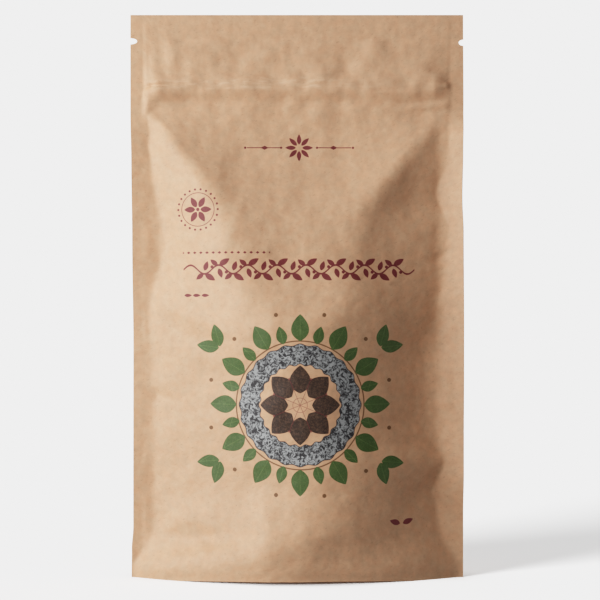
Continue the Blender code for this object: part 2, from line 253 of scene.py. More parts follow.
def crease(x, z, start, end, reach, kept):
    """1 along a line, and 0 at reach beside it. kept is the share that is left at each end."""
    dx, dz = end[0] - start[0], end[1] - start[1]
    t = np.clip(((x - start[0]) * dx + (z - start[1]) * dz) / (dx * dx + dz * dz), 0, 1)
    away = np.hypot(x - start[0] - t * dx, z - start[1] - t * dz)
    ends = (1 - (1 - kept[0]) * (1 - t) ** 2) * (1 - (1 - kept[1]) * t**2)
    return ease(0, 1, 1 - away / reach) * ends


def edge(side, z):
    """How far out the pouch's outline is on one side, with its tear notch."""
    d = np.clip(np.abs(z - NOTCH_HEIGHTS[side]) / NOTCH_HALF_HEIGHT, 0, 1)
    notch = NOTCH_REACHES[side] * np.sqrt(1 - d**NOTCH_ROUNDNESS)
    return HALF_WIDTH - along(EDGES[side], z) - notch


def on_side(table, x, z):
    """The value at height z in the stations of the side that x is on."""
    return np.where(x < 0, along(table["left"], z), along(table["right"], z))


def curl(x, z):
    """How far the pouch's middle plane swings forward, which it does only near its sides."""
    return on_side(CURLS, x, z) * ramp(np.abs(x) - CURL_STARTS, CURL_EASING)


def fading(distance):
    """1 at a distance of 0 and 0 at 1, level at both."""
    w = 1 - np.abs(distance)
    return w**3 * (w * (w * 6 - 15) + 10)


def soft_noise(x, z, wavelength, seed):
    """Even, soft hills and hollows from about -1 to 1, a wavelength across."""
    directions = np.random.default_rng(seed).uniform(0, TAU, (NOISE_CELLS, NOISE_CELLS))
    a, b = x / wavelength, z / wavelength
    i, j = np.floor(a).astype(int), np.floor(b).astype(int)
    total = np.zeros(np.broadcast(a, b).shape)
    for di in (0, 1):
        for dj in (0, 1):
            da, db = a - i - di, b - j - dj
            angle = directions[(i + di) % NOISE_CELLS, (j + dj) % NOISE_CELLS]
            slope = da * np.cos(angle) + db * np.sin(angle)
            total += slope * fading(da) * fading(db)
    return total * NOISE_GAIN


def crumple(x, z, wavelength, seed):
    """The soft dents and faint edges of handled paper, from about -1 to 1."""
    dents = soft_noise(x, z, wavelength, seed)
    edges = 0.5 - np.abs(soft_noise(x, z, wavelength * CRUMPLE_SPREAD, seed + EDGES_SEED))
    return CRUMPLE_DENTS * dents + CRUMPLE_EDGES * edges


@dataclass
class PanelShape:
    """How one of the two big panels bulges, as depths out of the pouch's middle plane.

    slopes, easing, rounding and insets have (height, value) stations. tucks has rows of
    (depth, height, down, up, sharp), and creases and marks of (depth, *crease's arguments).
    """

    slopes: dict
    easing: dict
    rounding: tuple
    insets: dict
    tucks: dict
    creases: tuple
    marks: tuple
    seed: int

    def start(self, side, z):
        """How far in from the pouch's edge the bulge starts, and how much further at tucks."""
        tucks = sum(depth * tuck(z, *place) for depth, *place in self.tucks[side])
        shut = ease(CORNER_OPENS, CORNER_SHUT, z)
        return along(self.insets[side], z) * shut, tucks * shut

    def limits(self, z):
        """The bulge's left and right limits at height z."""
        starts = []
        for side in ("left", "right"):
            inset, tucked = self.start(side, z)
            starts.append(inset + tucked * (1 - ease(0, TUCK_FADES, tucked)))
        return starts[0] - HALF_WIDTH, HALF_WIDTH - starts[1]

    def rise(self, side, x, z):
        """The depth that the panel gains from one side seal inwards."""
        inset, tucked = self.start(side, z)
        away = (HALF_WIDTH + x if side == "left" else HALF_WIDTH - x) - inset
        away = away - tucked * (1 - ease(0, TUCK_FADES, away))
        return along(self.slopes[side], z) * ramp(away, along(self.easing[side], z))

    def facet(self, x, z):
        """The depth of the hollow triangle that hangs from the fold under the zip."""
        down = FOLD - z
        half_width = np.maximum(FACET_HALF_WIDTH - FACET_NARROWS * down, 0)
        hollow = FACET_HOLLOW * np.clip(down / FACET_HOLLOW_GROWS, 0, 1)
        bends = sum(bend * ramp(down - start, easing) for start, easing, bend in FACET_BENDS)
        return FACET_LEAN * down + bends + hollow * ((x - FACET_MIDDLE) ** 2 - half_width**2)

    def bulge(self, x, z):
        """The depth of the filled part, under the zip."""
        left, right = self.rise("left", x, z), self.rise("right", x, z)
        belly = smooth_min(left, right, along(self.rounding, z))
        rounding = np.interp(FOLD - z, (0, FACET_ROUNDS), FACET_ROUNDING)
        depth = smooth_min(belly, self.facet(x, z), rounding)
        free = ease(0, CREASE_STARTS, np.minimum(np.minimum(left, right), depth))
        for height, *place in self.creases:
            depth = depth + height * crease(x, z, *place) * free
        return np.maximum(depth, 0)

    def header(self, x, z):
        """The depth of the header and the zip's ridge, inside the side seals."""
        low, high = self.limits(z)
        away = np.minimum(x - low, high - x)
        pressed_edge = ease(0, SEAL_EDGE, away)
        step = on_side(SEAL_STEPS, x, z)
        inside = step * pressed_edge + (1 - step) * ease(0, along(HEADER_EASES, z), away)
        crown = HEADER_CROWN * (1 - (x / HALF_WIDTH) ** 2) * ease(CROWN_STARTS, FOLD, z)
        crown = crown * ease(TOP_SEAL, TOP_SEAL - TOP_CLOSES, z)
        near_zip = np.maximum(1 - np.abs(z - ZIP_MIDDLE) / DIMPLE_REACH, 0)
        dimples = crumple(x, z * DIMPLE_FLATNESS, DIMPLE_WIDTH, self.seed + DIMPLE_SEED)
        dimples = DIMPLE_DEPTH * dimples * near_zip
        uneven = soft_noise(x, z * BEAD_FLATNESS, BEAD_WIDTH, self.seed + BEAD_SEED)
        uneven = 1 + BEAD_VARIES * uneven + BEAD_GROWS * x / HALF_WIDTH
        thicker = SEAL_RELIEF * pressed_edge * ease(HEIGHT, HEIGHT - TOP_EDGE, z)
        thicker = thicker * ease(SEAL_RELIEF_STARTS, FOLD, z)
        return inside * (along(HEADER_RELIEF, z) * uneven + crown + dimples) + thicker

    def dents(self, x, z):
        """What handling adds to the depth."""
        over_zip = ease(ZIP_MIDDLE, ZIP_MIDDLE + DENTS_EASE_GROWS, z)
        way = DENTS_EASE + np.where(x < 0, *DENTS_HEADER_EASES) * over_zip
        free = ease(0, way, DENTS_RIM - np.abs(x)) * ease(0, DENTS_FLOOR, z)
        free = free * ease(TOP_SEAL, TOP_SEAL - DENTS_TOP, z)
        under = ease(*DENTS_CHANGE, z)
        total = sum(height * crease(x, z, *place) for height, *place in self.marks)
        for i, (width, in_header, below) in enumerate(DENTS):
            depth = in_header + (below - in_header) * under
            total = total + depth * crumple(x, z, width, self.seed + i * DENTS_SEED)
        return free * total

    def depth(self, x, z):
        """The depth of the finished panel."""
        depth = np.maximum(self.bulge(x, z), self.header(x, z)) + self.dents(x, z)
        up = ZIP_HALF_HEIGHT + ROOM_EASE_UP - np.abs(z - ZIP_MIDDLE)
        along_zip = ZIP_HALF_LENGTH + ROOM_EASE_ALONG - np.abs(x)
        over_zip = ease(0, ROOM_EASE_UP, up) * ease(0, ROOM_EASE_ALONG, along_zip)
        return np.maximum(depth, ZIP_ROOM * over_zip)


FRONT = PanelShape(
    slopes={
        "left": ((0, 0.78), (24, 0.52), (45, 0.45), (90, 0.5), (125, 0.6), (HEIGHT, 0.6)),
        "right": (
            (0, 0.78), (24, 0.71), (90, 0.8), (125, 0.72), (150, 0.44), (175, 0.4),
            (HEIGHT, 0.5),
        ),
    },
    easing={
        "left": ((0, 3), (40, 4), (130, 4), (165, 8), (195, 4), (212, 1.5), (HEIGHT, 1.5)),
        "right": (
            (0, 5), (25, 3), (42, 1.2), (56, 2), (66, 6), (75, 12), (130, 11), (150, 4),
            (172, 1.5), (184, 1), (200, 2), (216, 1), (HEIGHT, 1),
        ),
    },
    rounding=((0, 131), (24, 40), (45, 34), (90, 44), (130, 54), (155, 32), (HEIGHT, 30)),
    insets={
        "left": ((0, 9), (95, 9.2), (125, 7.6), (190, 8), (212, 7), (HEIGHT, 6)),
        "right": (
            (0, 9), (43, 9.5), (55, 8), (68, 12), (100, 13), (125, 7), (150, 6.5),
            (215, 6.7), (236, 7), (HEIGHT, 6),
        ),
    },
    tucks={
        "left": ((6, 161, 34, 40, False), (1.4, 214, 8, 8, False)),
        "right": ((7.5, 184, 16, 17, True), (3, 117, 20, 12, False), (6, 42.5, 24, 14, True)),
    },
    creases=(
        (-2.2, (67, 184), (28, 158), 15, (1, 0)),
        (-2.2, (73, 212), (40, 172), 11, (0.4, 0.2)),
        (-2.2, (-70, 124), (-28, 108), 9, (0.8, 0)),
        (1.5, (-15, 16), (-17, 50), 11, (0.8, 0)),
        (1.8, (-4, 0), (-13, 26), 26, (1, 0)),
        (1.2, (-42, 0), (-14, 0), 9, (0.2, 0.6)),
        (1.2, (-64, 32), (-30, 22), 10, (0.6, 0.2)),
        (-1.6, (66, 43), (44, 33), 9, (1, 0)),
        (1.5, (72, 58), (60, 46), 6, (0.8, 0.2)),
    ),
    marks=(
        (1.3, (-71, 232), (-55, 233.6), 5, (1, 0.2)),
        (0.8, (-71, 228.2), (-56, 229.8), 4, (1, 0)),
        (-0.7, (-73.5, 234.8), (-70, 236), 1.3, (1, 0.9)),
        (-0.7, (-69.5, 236), (-57, 236.1), 1.3, (0.9, 0)),
        (0.35, (-72, 238), (-46, 238.5), 2, (0.8, 0)),
        (0.3, (-40, 238.3), (-12, 238), 1.8, (0, 0.3)),
        (0.4, (-41, 234.8), (-21, 235.2), 2.4, (0.2, 0.2)),
        (0.6, (-16, 236.4), (-7, 235.4), 4.5, (0.4, 0.6)),
        (0.6, (19, 236.8), (27, 236.6), 4, (0.6, 0.4)),
        (-0.6, (38, 234.2), (49, 233.6), 2, (0.3, 0.3)),
        (1.5, (48, 225.2), (70, 226.4), 2.8, (0, 0.35)),
        (0.7, (33, 245), (43, 262), 9, (0.6, 0.3)),
        (-0.6, (22, 240), (24, 256), 6, (0.8, 0.2)),
        (0.45, (58, 242), (69, 254), 4, (0.6, 0.6)),
        (-0.8, (72, 155.5), (61, 150), 3.5, (1, 0)),
        (-0.7, (72, 138.5), (66, 136.5), 3, (1, 0)),
        (-0.9, (-71, 88), (-54, 84), 5, (1, 0)),
        (0.9, (-72, 15), (-46, 36), 6, (0.6, 0)),
        (-0.8, (-50, 28), (-38, 16), 5, (0.3, 0.3)),
        (0.4, (-69, 243), (-68, 258), 4, (0.6, 0.2)),
        (0.5, (-59, 241), (-60, 260), 5, (0.6, 0.2)),
        (0.45, (-50.5, 243), (-51, 257), 5, (0.6, 0.2)),
        (-0.5, (-44, 244), (-46, 258), 5, (0.6, 0.2)),
    ),
    seed=1,
)

BACK = PanelShape(
    slopes={
        "left": ((0, 0.78), (22, 0.66), (60, 0.64), (170, 0.6), (HEIGHT, 0.55)),
        "right": ((0, 0.78), (22, 0.62), (60, 0.58), (170, 0.55), (HEIGHT, 0.5)),
    },
    easing={"left": ((0, 5), (HEIGHT, 5)), "right": ((0, 5), (HEIGHT, 5))},
    rounding=((0, 125), (24, 70), (60, 44), (HEIGHT, 42)),
    insets={
        "left": ((0, 11), (90, 10), (130, 7), (HEIGHT, 6)),
        "right": ((0, 10), (95, 9), (125, 7), (HEIGHT, 6)),
    },
    tucks={
        "left": ((6, 172, 16, 16, True), (4, 70, 24, 24, False)),
        "right": ((5, 190, 18, 18, False), (6, 120, 20, 20, True)),
    },
    creases=(
        (-2.6, (-68, 172), (-26, 146), 14, (1, 0)),
        (-2, (66, 120), (30, 96), 13, (1, 0)),
    ),
    marks=(),
    seed=21,
)


# A panel's grid: its columns in a side seal and in the bulge, and the steps between its rows.
BAND_COLUMNS = 7
BULGE_COLUMNS = 116
BULGE_SPREAD = 1.15
EDGE_GAP = 0.4
ROW_STEP = 1.2
ZIP_ROWS = (222, 242)
ZIP_ROW_STEP = 0.5
NOTCH_ROWS_REACH = 2
NOTCH_ROW_STEP = 0.22

# The lower edge's lift off the floor in its middle, and how far it reaches along and up.
HEM_LIFT = 1.5
HEM_REACH = 56
HEM_HEIGHT = 14


def panel_rows():
    """The heights of a panel's rows, closer together along the zip and at the tear notches."""
    steps = (
        (0, ROW_STEP),
        (ZIP_ROWS[0], ZIP_ROW_STEP),
        (ZIP_ROWS[1], ROW_STEP),
        (min(NOTCH_HEIGHTS.values()) - NOTCH_ROWS_REACH, NOTCH_ROW_STEP),
        (max(NOTCH_HEIGHTS.values()) + NOTCH_ROWS_REACH, ROW_STEP),
        (HEIGHT, None),
    )
    rows = [np.zeros(1)]
    for (start, step), (end, _) in zip(steps, steps[1:]):
        rows.append(np.linspace(start, end, round((end - start) / step) + 1)[1:])
    return np.concatenate(rows)


def panel_columns(shape, z):
    """The x of each column at height z, over the left seal, the bulge and the right seal."""
    left, right = -edge("left", z), edge("right", z)
    low, high = shape.limits(z)
    low, high = np.maximum(low, left + EDGE_GAP), np.minimum(high, right - EDGE_GAP)
    band = np.linspace(0, 1, BAND_COLUMNS, endpoint=False)
    t = np.linspace(-1, 1, BULGE_COLUMNS)
    spread = BULGE_SPREAD * t + (1 - BULGE_SPREAD) * t**3
    bulge = (low + high + (high - low) * spread) / 2
    right_band = (right + band * (high - right))[::-1]
    return np.concatenate([left + band * (low - left), bulge, right_band])


def lifted(x, z):
    """The height of a place once the lower edge stands off the floor between the corners."""
    middle = np.maximum(1 - (x / HEM_REACH) ** 2, 0)
    return z + HEM_LIFT * middle * np.maximum(1 - z / HEM_HEIGHT, 0)


def flat_lengths(across, depth):
    """How far each point is from the first one of its row once the sheet is laid flat."""
    steps = np.hypot(np.diff(across, axis=-1), np.diff(depth, axis=-1))
    start = np.zeros((*steps.shape[:-1], 1))
    return np.concatenate([start, np.cumsum(steps, axis=-1)], axis=-1)


# The gusset's steps across, up each wall and over the arch, and the places in each half where
# its ends are looked for.
GUSSET_SPAN = 100
GUSSET_WALL = 8
GUSSET_ARCH = 24
END_SAMPLES = 320


def leaf_depth(shape, x, z):
    """How deep the gusset lies on a panel's inner face."""
    return shape.depth(x, z) - LEAF_INSET


def gusset_across(s, z):
    """The x of each place at height z, from s = -1 at the gusset's left end to 1 at its right."""
    ends = []
    for direction in (-1, 1):
        x = direction * np.linspace(HALF_WIDTH, 0, END_SAMPLES)[:, None]
        room = np.minimum(FRONT.bulge(x, z[None]), BACK.bulge(x, z[None]))
        ends.append(x[np.argmax(room >= LEAF_END_DEPTH, axis=0), 0])
    return ends[0] + (ends[1] - ends[0]) * (s + 1) / 2


def gusset_places():
    """The gusset's grid: up the front panel, over the arch and down the back panel."""
    s = np.linspace(-1, 1, GUSSET_SPAN + 1)
    ridge = RIDGE_LOW + (RIDGE_TOP - RIDGE_LOW) * np.abs(s) ** RIDGE_SHARPNESS
    top = np.stack([gusset_across(s, ridge), 0 * s, ridge], axis=-1)
    walls = []
    for shape, side in ((FRONT, -1), (BACK, 1)):
        spread = leaf_depth(shape, gusset_across(s, 0 * s), 0 * s)
        bond = (LEAF**2 - ridge**2 - spread**2) / (2 * (LEAF - ridge))
        bond = np.minimum(np.maximum(bond, LEAST_BOND), ridge)
        wall = []
        for share in np.linspace(0, 1, GUSSET_WALL + 1):
            z = bond * share
            x = gusset_across(s, z)
            wall.append(np.stack([x, side * leaf_depth(shape, x, z), z], axis=-1))
        walls.append(wall)
    front, back = walls
    arch = []
    for share in np.linspace(-1, 1, GUSSET_ARCH + 1)[1:-1]:
        foot = front[-1] if share < 0 else back[-1]
        x, y, z = (top + (foot - top) * abs(share)).T
        y = np.clip(y, -leaf_depth(FRONT, x, z), leaf_depth(BACK, x, z))
        arch.append(np.stack([x, y, z], axis=-1))
    places = np.array([*front, *arch, *reversed(back)])
    places[..., 2] = lifted(places[..., 0], places[..., 2])
    return places


# Mesh tools.

SMOOTH_ANGLE = math.radians(50)


def deselect_all():
    if bpy.context.object and bpy.context.object.mode != "OBJECT":
        bpy.ops.object.mode_set(mode="OBJECT")
    bpy.ops.object.select_all(action="DESELECT")


def add_sheet(name, places, flat, outward):
    """A grid that faces outward, with a corner at each of places (rows x columns x 3, in mm).

    Its UV map is flat (rows x columns x 2, in mm), with the pouch's height as its side. A grid's
    vertices are in the order of places.
    """
    rows, columns = places.shape[:2]
    deselect_all()
    bpy.ops.mesh.primitive_grid_add(x_subdivisions=columns - 1, y_subdivisions=rows - 1, size=2)
    obj = bpy.context.object
    obj.name = obj.data.name = name
    mesh = obj.data
    mesh.vertices.foreach_set("co", (places * MM).ravel())
    corner_of_loop = np.empty(len(mesh.loops), int)
    mesh.loops.foreach_get("vertex_index", corner_of_loop)
    uv = flat.reshape(-1, 2)[corner_of_loop] / HEIGHT
    mesh.uv_layers[0].name = "flat"
    mesh.uv_layers[0].uv.foreach_set("vector", uv.ravel())
    mesh.update()
    middle = mesh.polygons[len(mesh.polygons) // 2]
    if middle.normal.dot(Vector(outward)) < 0:
        bpy.ops.object.mode_set(mode="EDIT")
        bpy.ops.mesh.select_all(action="SELECT")
        bpy.ops.mesh.flip_normals()
        bpy.ops.object.mode_set(mode="OBJECT")
    return obj


def finish_sheet(obj, film, material, node):
    """Gives the sheet just added its thickness, a level rim, its finish and its place."""
    modifier = obj.modifiers.new("Solidify", "SOLIDIFY")
    modifier.thickness = film
    modifier.offset = 1
    modifier.use_even_offset = True
    bpy.ops.object.modifier_apply(modifier=modifier.name)
    for v in obj.data.vertices:
        for level in (0, HEIGHT * MM):
            if abs(v.co.z - level) < film / 3:
                v.co.z = level
    bpy.ops.object.shade_smooth_by_angle(angle=SMOOTH_ANGLE)
    obj.data.materials.clear()
    obj.data.materials.append(material)
    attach(obj, CAD_BODY)
    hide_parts(node)


# Shader maths.


def maths(operation):
    """An operator of Value, which adds one Math node."""
    return lambda self, *others: self.math(operation, *others)


@dataclass
class Value:
    """A number or a vector that changes over a surface. & is the lower of two and | the higher."""

    tree: "Tree"
    socket: bpy.types.NodeSocket

    def math(self, operation, *others):
        return self.tree.math(operation, self, *others)

    def clamped(self, offset=0):
        """The value plus offset, held between 0 and 1."""
        return self.tree.math("ADD", self, offset, clamp=True)

    def __rsub__(self, other):
        return self.tree.math("SUBTRACT", other, self)

    __add__ = __radd__ = maths("ADD")
    __sub__ = maths("SUBTRACT")
    __mul__ = __rmul__ = maths("MULTIPLY")
    __truediv__ = maths("DIVIDE")
    __pow__ = maths("POWER")
    __abs__ = maths("ABSOLUTE")
    __and__ = maths("MINIMUM")
    __or__ = maths("MAXIMUM")


class Tree:
    """A tree of shader nodes."""

    def __init__(self, owner):
        owner.use_nodes = True
        self.nodes = owner.node_tree.nodes
        self.links = owner.node_tree.links

    def node(self, kind, settings, sockets, output=0):
        """Adds one node: its type, then its settings, then the values or links of its sockets."""
        node = self.nodes.new("ShaderNode" + kind)
        for name, value in settings.items():
            setattr(node, name, value)
        for name, value in sockets.items():
            self.feed(node.inputs[name], value)
        return Value(self, node.outputs[output])

    def feed(self, socket, value):
        """Links a socket to a Value, or sets it. A colour may be given without its alpha."""
        if isinstance(value, Value):
            self.links.new(value.socket, socket)
        elif socket.type == "RGBA":
            socket.default_value = (*value, 1)
        else:
            socket.default_value = value

    def math(self, operation, *values, clamp=False):
        settings = {"operation": operation, "use_clamp": clamp}
        return self.node("Math", settings, dict(enumerate(values)))

    def shifted(self, place, by):
        return self.node("VectorMath", {"operation": "ADD"}, {0: place, 1: by})

    def scaled(self, vector, scale):
        return self.node("VectorMath", {"operation": "SCALE"}, {0: vector, "Scale": scale})

    def mix(self, share, low, high):
        """low where share is 0 and high where it is 1, as colours."""
        return self.node("Mix", {"data_type": "RGBA"}, {0: share, 6: low, 7: high}, 2)

    def noise(self, place, scale, **sockets):
        """Soft noise. sockets are its node's others."""
        return self.node("TexNoise", {}, {"Vector": place, "Scale": scale, **sockets})

    def stretched(self, place, scale, turn=0):
        """The same place with its axes scaled and turned about Z."""
        sockets = {"Vector": place, "Scale": scale, "Rotation": (0, 0, turn)}
        return self.node("Mapping", {"vector_type": "TEXTURE"}, sockets)


class Finish(Tree):
    """A material's tree, with one Principled shader."""

    def __init__(self, name, roughness, specular=0.5):
        self.material = bpy.data.materials.new(name)
        super().__init__(self.material)
        self.set("Roughness", roughness)
        self.set("Specular IOR Level", specular)

    def set(self, name, value):
        self.feed(self.nodes["Principled BSDF"].inputs[name], value)

    def bump(self, height, distance):
        """Sets the Normal from a height that distance turns into metres."""
        self.set("Normal", self.node("Bump", {}, {"Height": height, "Distance": distance}))


def tinted(colour, tint):
    """A colour with its channels multiplied by tint, which is one factor or three."""
    return tuple(np.minimum(np.multiply(colour, tint), 1))


# The paper. Its places are in mm, and the depths of its buckles and fibres in metres.

BUCKLE_DEPTH = 0.00035
FIBRE_DEPTH = 0.00002

# The fibres lie in four directions, as (turn, seed). The sizes are of a fibre and of a fleck.
FIBRES = ((0.2, 0), (1.1, 31), (1.9, 57), (2.7, 83))
FIBRE_SIZE = (2.6, 0.22, 1)
FLECK_SIZE = (1.8, 0.5, 1)
FLECK_TURN = 0.5
FLECK_TONE = 0.45

# The middle of the fibres' range, and how far each layer changes the tone.
FIBRE_MIDDLE = 0.62
FIBRE_TONE = 0.3
PULP_TONE = 0.34
CLOUD_TONE = 0.16

# The paper runs from a warm to a cool tint, in patches apart from those of its tone.
WARM_TINT = (1.02, 0.98, 0.965)
COOL_TINT = (0.98, 1.01, 1.02)
HUE_SHIFT = (170, 60, 0)

# Painted highlights: pale lines painted along the zip's ridge where light catches its upper
# slopes, as (height, half width, seed).
ZIP_HIGHLIGHT_LINES = ((237.6, 2.2, 0), (235.3, 1.6, 40))
# The painted highlight's pale colour, and how much of it is mixed into the paper.
ZIP_HIGHLIGHT_COLOUR = (0.7, 0.47, 0.32)
ZIP_HIGHLIGHT_SHARE = 0.62

# They end before the side seals, fade to the right, wave and are broken.
ZIP_HIGHLIGHT_REACH = ZIP_HALF_LENGTH + 5
ZIP_HIGHLIGHT_EASE = 4
ZIP_HIGHLIGHT_FADES = (50, 40)
ZIP_HIGHLIGHT_WAVE = (14, 1, 40)
ZIP_HIGHLIGHT_SWING = 5
ZIP_HIGHLIGHT_BREAK = (9, 1, 2)


def paper_layers(finish, place, colour):
    """Kraft paper's colour and relief. place is in mm on the flat sheet."""
    strands = []
    for turn, seed in FIBRES:
        shifted = finish.shifted(place, (seed,) * 3)
        strands.append(finish.noise(finish.stretched(shifted, FIBRE_SIZE, turn), 1, Detail=1))
    fibre = reduce(or_, strands)
    pulp = finish.noise(place, 0.3, Detail=3, Roughness=0.6)
    cloud = finish.noise(place, 0.09)
    hue = finish.noise(finish.shifted(place, HUE_SHIFT), 0.22)
    tone = 1 + (fibre - FIBRE_MIDDLE) * FIBRE_TONE
    tone = tone + (pulp - 0.5) * PULP_TONE + (cloud - 0.5) * CLOUD_TONE
    warm, cool = tinted(colour, WARM_TINT), tinted(colour, COOL_TINT)
    plain = finish.mix((hue * 3.2).clamped(-1.1), warm, cool)
    flecks = finish.noise(finish.stretched(place, FLECK_SIZE, FLECK_TURN), 0.9, Detail=0)
    dark = ((flecks - 0.74) * 14 & 0.3).clamped()
    plain = finish.mix(dark, plain, tinted(colour, FLECK_TONE))
    buckle = finish.noise(place, 0.2, Detail=1.5, Roughness=0.4)
    return finish.scaled(plain, tone), buckle * BUCKLE_DEPTH + fibre * FIBRE_DEPTH


def painted_zip_highlight(finish, place, plane, paper):
    """A painted highlight: broken pale lines along the zip's ridge, where light catches its upper
    slopes.
    """
    fade_from, fade_over = ZIP_HIGHLIGHT_FADES
    inside = (ZIP_HIGHLIGHT_REACH - abs(plane.x)) / ZIP_HIGHLIGHT_EASE
    inside = (inside & (fade_from - plane.x) / fade_over).clamped()
    share = 0
    for line, half_width, seed in ZIP_HIGHLIGHT_LINES:
        shifted = finish.shifted(place, (seed, seed, 0))
        waved = (finish.noise(finish.stretched(shifted, ZIP_HIGHLIGHT_WAVE), 1) - 0.5) * ZIP_HIGHLIGHT_SWING
        broken = finish.noise(finish.stretched(shifted, ZIP_HIGHLIGHT_BREAK), 1, Detail=3)
        near = (1 - abs(plane.y + waved - line) / half_width).clamped()
        share = near * ((broken - 0.42) * 5).clamped() | share
    return finish.mix(share * inside * ZIP_HIGHLIGHT_SHARE, paper, ZIP_HIGHLIGHT_COLOUR)


def paper_finish(name, colour, inks=None):
    """Kraft paper of a colour. inks, by their names, are for the printed front."""
    finish = Finish(name, roughness=0.58, specular=0.35)
    flat = finish.node("UVMap", {"uv_map": "flat"}, {})
    surface, relief = paper_layers(finish, finish.scaled(flat, HEIGHT), colour)
    if inks:
        place = finish.scaled(finish.node("TexCoord", {}, {}, "Object"), 1 / MM)
        plane = Plane(*(finish.node("SeparateXYZ", {}, {0: place}, axis) for axis in "XZ"))
        # Painted highlight in pale lines along the zip's ridge.
        surface = painted_zip_highlight(finish, place, plane, surface)
        surface = print_layers(finish, place, plane, surface, inks)
    finish.set("Base Color", surface)
    finish.bump(relief, 1)
    return finish.material


# The print. All places and sizes in it are in mm, and turns in radians.

INK_EDGE = 0.16
INK_COVER = 0.97
INK_WEAR = 0.25
LEAF_ROUNDNESS = 0.85


def filled(depth):
    """1 inside a figure and 0 outside, from how deep inside it a place is, in mm."""
    return (depth * (1 / INK_EDGE)).clamped(0.5)


def either(*figures):
    """1 inside any of the figures, from how deep inside each of them a place is."""
    return reduce(or_, map(filled, figures))


@dataclass
class Plane:
    """Places on the flat print, as x and y in mm from a point of it."""

    x: Value
    y: Value

    def at(self, x, y):
        """The same places, measured from the point x, y."""
        return Plane(self.x - x, self.y - y)

    def turned(self, angle):
        """The same places, with the axes turned by angle."""
        c, s = math.cos(angle), math.sin(angle)
        return Plane(self.x * c + self.y * s, self.y * c - self.x * s)

    def radius(self):
        return (self.x * self.x + self.y * self.y).math("SQRT")

    def around(self):
        return self.y.math("ARCTAN2", self.x)

    def folded(self, count, phase=0):
        """The same places, with count equal wedges around the point laid on the one about +X."""
        wedge = TAU / count
        turn = self.around() + (phase * wedge + wedge / 2)
        turn = turn.math("FLOORED_MODULO", wedge) - wedge / 2
        radius = self.radius()
        return Plane(radius * turn.math("COSINE"), radius * turn.math("SINE"))

    def repeated(self, step):
        """The same places, with all stretches of length step along X laid on the middle one."""
        return Plane((self.x + step / 2).math("FLOORED_MODULO", step) - step / 2, self.y)

    def disc(self, radius):
        return radius - self.radius()

    def ring(self, radius, half_width):
        return half_width - abs(self.radius() - radius)

    def bar(self, half_length, half_height):
        return (half_length - abs(self.x)) & (half_height - abs(self.y))

    def rhomb(self, half_length, half_height):
        side = math.hypot(half_length, half_height)
        reach = abs(self.x) * (half_height / side) + abs(self.y) * (half_length / side)
        return half_length * half_height / side - reach

    def leaf(self, start, end, half_width):
        """A plain lance-shaped leaf along +X, widest before its middle."""
        middle, half_length = (start + end) / 2, (end - start) / 2
        t = ((self.x - start) / (end - start)).clamped()
        outline = (t * (1 - t) * 4) ** LEAF_ROUNDNESS * (1.25 - t * 0.5) * half_width
        return (outline - abs(self.y)) & (half_length - abs(self.x - middle))


def vine_band(plane, waves, wave):
    """A running vine: a waved stem with leaves and a berry at each bend, whole ones only."""
    rise = wave * 0.15
    half_length = waves * wave / 2
    slope = 1 / math.hypot(1, rise * TAU / wave * 0.7)
    stem = abs(plane.y - (plane.x * (TAU / wave)).math("SINE") * rise) * slope
    figures = [(0.36 - stem) & (half_length - abs(plane.x))]
    for side in (1, -1):
        cell = plane.at(side * wave / 4, side * rise).repeated(wave)
        whole = half_length - wave * 0.3 - abs(plane.x - cell.x)
        flipped = Plane(cell.x, cell.y * side)
        for figure in (
            flipped.at(0.3, 0.1).turned(0.55).leaf(0, 5.6, 1.35),
            flipped.at(-0.6, -0.2).turned(2.45).leaf(0, 4.4, 1.1),
            flipped.at(3.6, -3.3).disc(0.75),
            flipped.at(0, -1.6).turned(-1.25).leaf(0, 4.6, 1.15),
        ):
            figures.append(figure & whole)
    return either(*figures)


def badge(plane):
    """A round stamp: a ring of dots about a six-petalled flower."""
    dots = plane.folded(22).at(9.6, 0).disc(0.5)
    petals = plane.folded(6).leaf(1.3, 6.6, 1.35)
    return either(dots, petals, plane.disc(0.8), plane.ring(7.9, 0.14))


def small_ornaments(plane):
    """A divider at the top, a row of rhombs and one of dashes, and a pair of leaves."""
    top = plane.at(1, 206)
    halves = Plane(abs(top.x), top.y)
    row = plane.at(-33.5, 155.5)
    short = plane.at(-47.5, 135.3)
    corner = plane.at(49.5, 27)
    return either(
        halves.at(16.5, 0).bar(8.5, 0.2),
        top.folded(8).leaf(1.6, 6.6, 1),
        halves.at(16.5, 0).rhomb(1.9, 1),
        halves.at(8.6, 0).disc(0.55),
        halves.at(25.8, 0).disc(0.55),
        row.repeated(3).rhomb(0.85, 0.62) & row.bar(20.9, 2),
        short.repeated(4.2).leaf(-1.8, 1.8, 0.75) & short.bar(6.2, 2),
        Plane(abs(corner.x), corner.y).turned(0.35).leaf(0.8, 6, 1.3),
    )


